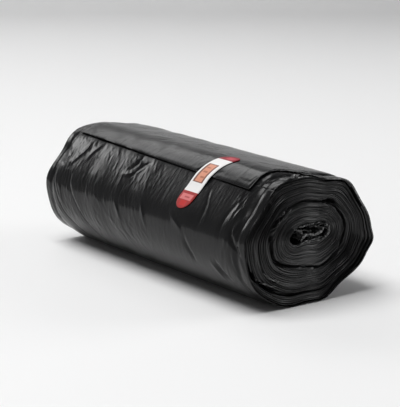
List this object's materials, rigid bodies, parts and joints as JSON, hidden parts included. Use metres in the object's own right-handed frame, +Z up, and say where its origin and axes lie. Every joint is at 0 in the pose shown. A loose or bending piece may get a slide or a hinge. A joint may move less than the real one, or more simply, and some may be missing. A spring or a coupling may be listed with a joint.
{
  "type": "bin bag roll",
  "caption": "Roll of thin black bags wound flat without a tube, with film turns open at both ends, a free edge along the flank and a stuck-on seal label.",
  "frame": {"origin": "on the floor below the middle of the roll's box, in the middle of the flat spot it rests on", "axes": "+X along the roll towards the near end, -Y towards the flank with the free edge and the label, +Z up"},
  "size_m": [0.204, 0.097, 0.0755],
  "materials": {
    "film": "satin black polythene film, creased",
    "label": "printed white film, red round ends and an orange panel"
  },
  "bodies": {
    "root": {"bag_roll": "film", "seal_label": "label"}
  },
  "joints": []
}
